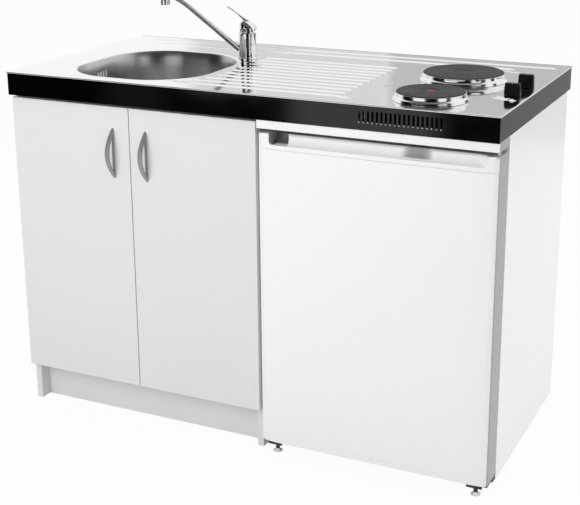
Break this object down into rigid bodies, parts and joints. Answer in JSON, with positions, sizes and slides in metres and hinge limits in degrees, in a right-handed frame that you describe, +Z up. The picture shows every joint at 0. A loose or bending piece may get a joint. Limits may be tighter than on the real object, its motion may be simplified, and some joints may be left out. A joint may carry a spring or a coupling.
{
  "type": "kitchenette unit with sink and hob",
  "caption": "Compact kitchenette: steel worktop with sink, drainer, mixer tap and hotplates over a hinged-door sink cabinet and an under-counter refrigerator.",
  "frame": {"origin": "on the floor, under the middle of the whole unit's box", "axes": "+Z up, +X to the right seen from the front, -Y the front with the doors"},
  "size_m": [1.2, 0.617, 1.019],
  "materials": {
    "white_board": "smooth white melamine-faced board, semi-matt",
    "hardboard": "thin white-painted hardboard, matt",
    "brushed_steel": "satin stainless steel with a fine linen grain",
    "black_gloss": "glossy black",
    "chrome": "polished chrome plate",
    "satin_nickel": "satin nickel plate, fluted along its length",
    "cast_iron": "dark grey, fine concentric grooves, matt",
    "black_plastic": "black moulded plastic, semi-gloss",
    "galvanised_steel": "zinc-plated sheet steel",
    "white_enamel": "smooth white enamel",
    "white_plastic": "white moulded plastic",
    "grey_rubber": "soft grey seal",
    "clear_plastic": "clear moulded plastic",
    "glass": "clear safety glass",
    "aluminium": "bare aluminium sheet, satin",
    "black_steel": "black painted steel"
  },
  "bodies": {
    "unit": {"left_side_panel": "white_board", "right_side_panel": "white_board", "cabinet_floor": "white_board", "front_rail": "white_board", "plinth_board": "white_board", "cabinet_back": "hardboard", "steel_top": "brushed_steel", "front_fascia": "black_gloss", "left_fascia": "black_gloss", "right_fascia": "black_gloss", "back_fascia": "black_gloss", "waste_fitting": "chrome", "tap_body": "chrome", "front_hotplate_ring": "chrome", "rear_hotplate_ring": "chrome", "front_hotplate": "cast_iron", "rear_hotplate": "cast_iron", "hob_switch_housing": "black_plastic", "hob_under_pan": "galvanised_steel", "fridge_rear_tray": "galvanised_steel", "left_lower_hinge_arm": "galvanised_steel", "left_upper_hinge_arm": "galvanised_steel", "right_lower_hinge_arm": "galvanised_steel", "right_upper_hinge_arm": "galvanised_steel", "fridge_cabinet": "white_enamel", "fridge_top_apron": "white_plastic", "fridge_liner": "white_plastic", "bottle_trap": "white_plastic", "overflow_pipe": "white_plastic", "glass_shelf": "glass", "crisper_cover": "glass", "icebox": "aluminium", "fridge_front_base": "black_steel", "compressor": "black_steel", "condenser": "black_steel"},
    "left_door": {"left_door": "white_board", "left_door_handle": "satin_nickel", "left_lower_hinge_cup": "galvanised_steel", "left_upper_hinge_cup": "galvanised_steel"},
    "right_door": {"right_door": "white_board", "right_door_handle": "satin_nickel", "right_lower_hinge_cup": "galvanised_steel", "right_upper_hinge_cup": "galvanised_steel"},
    "fridge_door": {"fridge_door_panel": "white_enamel", "fridge_grip_trim": "white_plastic", "fridge_door_liner": "white_plastic", "door_gasket": "grey_rubber", "bottle_rack": "clear_plastic"},
    "tap_spout": {"tap_spout": "chrome", "spout_aerator": "chrome"},
    "tap_cartridge": {"tap_cartridge": "chrome"},
    "tap_lever": {"tap_lever": "chrome"},
    "waste_plug": {"waste_plug": "chrome"},
    "front_knob": {"front_knob": "black_plastic"},
    "rear_knob": {"rear_knob": "black_plastic"},
    "thermostat_knob": {"thermostat_knob": "white_plastic"},
    "icebox_flap": {"icebox_flap": "white_plastic"},
    "crisper_drawer": {"crisper_drawer": "clear_plastic"},
    "front_left_foot": {"front_left_foot": "black_plastic"},
    "front_right_foot": {"front_right_foot": "black_plastic"}
  },
  "joints": [
    {"name": "left_door_hinge", "type": "hinge", "parent": "unit", "child": "left_door", "pos_m": [-0.596, -0.2715, 0.444], "axis": [0, 0, -1], "range_deg": [0, 95]},
    {"name": "right_door_hinge", "type": "hinge", "parent": "unit", "child": "right_door", "pos_m": [0.05, -0.2715, 0.444], "axis": [0, 0, 1], "range_deg": [0, 95]},
    {"name": "fridge_door_hinge", "type": "hinge", "parent": "unit", "child": "fridge_door", "pos_m": [0.591, -0.2615, 0.4], "axis": [0, 0, 1], "range_deg": [0, 110]},
    {"name": "front_knob_turn", "type": "hinge", "parent": "unit", "child": "front_knob", "pos_m": [0.565, -0.0885, 0.864], "axis": [0, 0, -1], "range_deg": [0, 270]},
    {"name": "rear_knob_turn", "type": "hinge", "parent": "unit", "child": "rear_knob", "pos_m": [0.565, 0.0195, 0.864], "axis": [0, 0, -1], "range_deg": [0, 270]},
    {"name": "spout_swivel", "type": "hinge", "parent": "unit", "child": "tap_spout", "pos_m": [-0.158, 0.0935, 0.874], "axis": [0, 0, 1], "range_deg": [-60, 60]},
    {"name": "tap_mix_turn", "type": "hinge", "parent": "unit", "child": "tap_cartridge", "pos_m": [-0.158, 0.0935, 0.897], "axis": [0, 0, 1], "range_deg": [-45, 45]},
    {"name": "tap_lever_lift", "type": "hinge", "parent": "tap_cartridge", "child": "tap_lever", "pos_m": [-0.158, 0.0935, 0.921], "axis": [-0.5592, 0.829, 0], "range_deg": [0, 25]},
    {"name": "waste_plug_lift", "type": "slide", "parent": "unit", "child": "waste_plug", "axis": [0, 0, 1], "range_m": [0, 0.012]},
    {"name": "thermostat_turn", "type": "hinge", "parent": "unit", "child": "thermostat_knob", "pos_m": [0.552, -0.1509, 0.59], "axis": [-1, 0, 0], "range_deg": [0, 300]},
    {"name": "icebox_flap_hinge", "type": "hinge", "parent": "unit", "child": "icebox_flap", "pos_m": [0.3315, -0.0909, 0.7361], "axis": [-1, 0, 0], "range_deg": [0, 85]},
    {"name": "crisper_slide", "type": "slide", "parent": "unit", "child": "crisper_drawer", "axis": [0, -1, 0], "range_m": [0, 0.1]},
    {"name": "front_left_foot_turn", "type": "hinge", "parent": "unit", "child": "front_left_foot", "pos_m": [0.09, -0.2615, 0.02], "axis": [0, 0, 1], "continuous": true},
    {"name": "front_right_foot_turn", "type": "hinge", "parent": "unit", "child": "front_right_foot", "pos_m": [0.569, -0.2615, 0.02], "axis": [0, 0, 1], "continuous": true}
  ]
}
